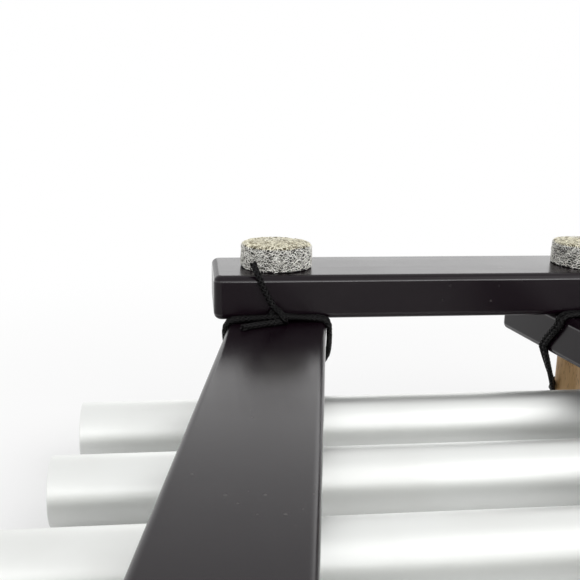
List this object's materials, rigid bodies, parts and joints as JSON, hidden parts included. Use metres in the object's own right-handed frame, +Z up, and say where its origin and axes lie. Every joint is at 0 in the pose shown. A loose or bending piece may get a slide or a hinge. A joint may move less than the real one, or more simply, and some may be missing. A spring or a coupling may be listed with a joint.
{
  "type": "table tube chime",
  "caption": "Table tube chime: splayed black wooden rails between crossbeams carry metal tubes on stretched cords, with felt feet; shown turned over.",
  "frame": {"origin": "middle of the chime's box, at the level of the post ends it stands on when turned over", "axes": "+X along the tubes, +Y to the short crossbeam at the high-note end, +Z up with the felt feet on top"},
  "size_m": [0.4878, 0.4664, 0.0852],
  "materials": {
    "black_lacquer": "satin black lacquer",
    "satin_aluminium": "satin drawn",
    "grey_felt": "pressed wool felt",
    "black_cord": "round braided cord",
    "pale_wood": "oiled beech",
    "zinc_steel": "zinc plated"
  },
  "bodies": {
    "frame": {"rail_left": "black_lacquer", "rail_right": "black_lacquer", "crossbeam_short": "black_lacquer", "crossbeam_long": "black_lacquer", "end_post_far_left": "pale_wood", "end_post_far_right": "pale_wood", "end_post_near_left": "pale_wood", "end_post_near_right": "pale_wood", "frame_screw_far_left": "zinc_steel", "frame_screw_far_right": "zinc_steel", "frame_screw_near_left": "zinc_steel", "frame_screw_near_right": "zinc_steel", "felt_foot_far_left": "grey_felt", "felt_foot_far_right": "grey_felt", "felt_foot_near_left": "grey_felt", "felt_foot_near_right": "grey_felt", "lashing_far_left": "black_cord", "lashing_far_right": "black_cord", "lashing_near_left": "black_cord", "lashing_near_right": "black_cord", "cord_left_1": "black_cord", "cord_left_2": "black_cord", "cord_left_3": "black_cord", "cord_left_4": "black_cord", "cord_left_5": "black_cord", "cord_left_6": "black_cord", "cord_left_7": "black_cord", "cord_left_8": "black_cord", "cord_left_9": "black_cord", "cord_right_1": "black_cord", "cord_right_2": "black_cord", "cord_right_3": "black_cord", "cord_right_4": "black_cord", "cord_right_5": "black_cord", "cord_right_6": "black_cord", "cord_right_7": "black_cord", "cord_right_8": "black_cord", "cord_right_9": "black_cord"},
    "tube_1": {"tube_1": "satin_aluminium"},
    "tube_2": {"tube_2": "satin_aluminium"},
    "tube_3": {"tube_3": "satin_aluminium"},
    "tube_4": {"tube_4": "satin_aluminium"},
    "tube_5": {"tube_5": "satin_aluminium"},
    "tube_6": {"tube_6": "satin_aluminium"},
    "tube_7": {"tube_7": "satin_aluminium"},
    "tube_8": {"tube_8": "satin_aluminium"}
  },
  "joints": [
    {"name": "tube_1_bounce", "type": "slide", "parent": "frame", "child": "tube_1", "axis": [0, 0, 1], "range_m": [-0.0035, 0.0035], "stiffness_N_per_m": 1000, "springref_m": 0.00108, "deforming": ["cord_left_1", "cord_left_2", "cord_right_1", "cord_right_2"]},
    {"name": "tube_2_bounce", "type": "slide", "parent": "frame", "child": "tube_2", "axis": [0, 0, 1], "range_m": [-0.0035, 0.0035], "stiffness_N_per_m": 1000, "springref_m": 0.00111, "deforming": ["cord_left_2", "cord_left_3", "cord_right_2", "cord_right_3"]},
    {"name": "tube_3_bounce", "type": "slide", "parent": "frame", "child": "tube_3", "axis": [0, 0, 1], "range_m": [-0.0035, 0.0035], "stiffness_N_per_m": 1000, "springref_m": 0.00125, "deforming": ["cord_left_3", "cord_left_4", "cord_right_3", "cord_right_4"]},
    {"name": "tube_4_bounce", "type": "slide", "parent": "frame", "child": "tube_4", "axis": [0, 0, 1], "range_m": [-0.0035, 0.0035], "stiffness_N_per_m": 1000, "springref_m": 0.00128, "deforming": ["cord_left_4", "cord_left_5", "cord_right_4", "cord_right_5"]},
    {"name": "tube_5_bounce", "type": "slide", "parent": "frame", "child": "tube_5", "axis": [0, 0, 1], "range_m": [-0.0035, 0.0035], "stiffness_N_per_m": 1000, "springref_m": 0.00136, "deforming": ["cord_left_5", "cord_left_6", "cord_right_5", "cord_right_6"]},
    {"name": "tube_6_bounce", "type": "slide", "parent": "frame", "child": "tube_6", "axis": [0, 0, 1], "range_m": [-0.0035, 0.0035], "stiffness_N_per_m": 1000, "springref_m": 0.00153, "deforming": ["cord_left_6", "cord_left_7", "cord_right_6", "cord_right_7"]},
    {"name": "tube_7_bounce", "type": "slide", "parent": "frame", "child": "tube_7", "axis": [0, 0, 1], "range_m": [-0.0035, 0.0035], "stiffness_N_per_m": 1000, "springref_m": 0.00157, "deforming": ["cord_left_7", "cord_left_8", "cord_right_7", "cord_right_8"]},
    {"name": "tube_8_bounce", "type": "slide", "parent": "frame", "child": "tube_8", "axis": [0, 0, 1], "range_m": [-0.0035, 0.0035], "stiffness_N_per_m": 1000, "springref_m": 0.00177, "deforming": ["cord_left_8", "cord_left_9", "cord_right_8", "cord_right_9"]}
  ]
}
